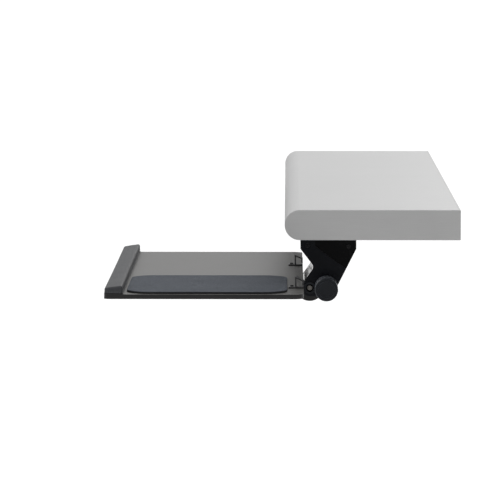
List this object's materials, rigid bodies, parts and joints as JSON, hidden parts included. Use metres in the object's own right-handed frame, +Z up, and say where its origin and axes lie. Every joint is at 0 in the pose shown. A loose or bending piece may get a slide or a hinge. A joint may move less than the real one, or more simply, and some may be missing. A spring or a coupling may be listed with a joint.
{
  "type": "desk top with keyboard tray",
  "caption": "Section of desk top with a rounded front edge, and a keyboard tray hung under it on a swivelling, tilting arm with a clamp knob, palm rest and mouse pad.",
  "frame": {"origin": "middle of the desk top's underside, at the centre of the frame inserts", "axes": "+Z up, +X from the user towards the back of the desk, +Y towards the user's left"},
  "size_m": [0.4925, 1.295, 0.144],
  "materials": {
    "core_board": "raw chipboard",
    "laminate": "fine-textured laminate",
    "backer": "matt balancing sheet",
    "edging": "satin edging",
    "brass": "machined",
    "black_plate": "fine powder coat",
    "zinc": "zinc plated",
    "nylon": "moulded nylon",
    "arm_paint": "satin paint",
    "cover_plastic": "satin moulding",
    "black_screw": "black oxide",
    "friction_fibre": "pressed fibre",
    "knob_plastic": "fine-textured moulding",
    "phenolic": "satin phenolic board",
    "moulded_strip": "satin moulding",
    "palm_cover": "grained cover over foam",
    "pad_rubber": "open-cell rubber",
    "pad_cloth": "knitted cloth",
    "clip_plastic": "moulding"
  },
  "bodies": {
    "desk": {"desk_core": "core_board", "desk_laminate": "laminate", "desk_backer": "backer", "end_edging_right": "edging", "end_edging_left": "edging", "back_edging": "edging", "threaded_inserts": "brass", "mounting_plate": "black_plate", "mounting_screws": "zinc", "stop_pin": "zinc", "swivel_bolt": "zinc", "swivel_washer": "zinc", "swivel_nut": "zinc", "upper_glide": "nylon", "lower_glide": "nylon"},
    "arm": {"arm_yoke": "arm_paint", "side_cover_right": "cover_plastic", "side_cover_left": "cover_plastic", "cover_screws": "black_screw", "pivot_pin": "black_screw", "pivot_clips": "black_screw", "clamp_rod": "zinc", "spacer_tube": "zinc", "friction_washers": "friction_fibre"},
    "clamp_ring": {"clamp_washer": "zinc"},
    "knob": {"knob_body": "knob_plastic", "knob_insert": "brass", "knob_cap": "knob_plastic"},
    "tray": {"tray_bracket": "black_plate", "pivot_bush_right": "nylon", "pivot_bush_left": "nylon", "bracket_screws": "zinc", "tray_board": "phenolic", "palm_rest_strip": "moulded_strip", "palm_rest_foam": "palm_cover", "mouse_pad_rubber": "pad_rubber", "mouse_pad_cloth": "pad_cloth", "cable_clip_right": "clip_plastic", "cable_clip_left": "clip_plastic", "clip_screws": "black_screw"}
  },
  "joints": [
    {"name": "arm_swivel", "type": "hinge", "parent": "desk", "child": "arm", "pos_m": [-0.06, -0.39, -0.015], "axis": [0, 0, 1], "range_deg": [-45, 45]},
    {"name": "tray_tilt", "type": "hinge", "parent": "arm", "child": "tray", "pos_m": [-0.0865, -0.39, -0.082], "axis": [0, -1, 0], "range_deg": [0, 15]},
    {"name": "clamp_slide", "type": "slide", "parent": "arm", "child": "clamp_ring", "axis": [0, -1, 0], "range_m": [0, 0.00093]},
    {"name": "knob_turn", "type": "hinge", "parent": "clamp_ring", "child": "knob", "pos_m": [-0.063, -0.48, -0.08], "axis": [0, -1, 0], "range_deg": [0, 270]}
  ],
  "couplings": [
    {"joint": "knob_turn", "follows": "clamp_slide", "rad_per_m": 5026.5}
  ]
}
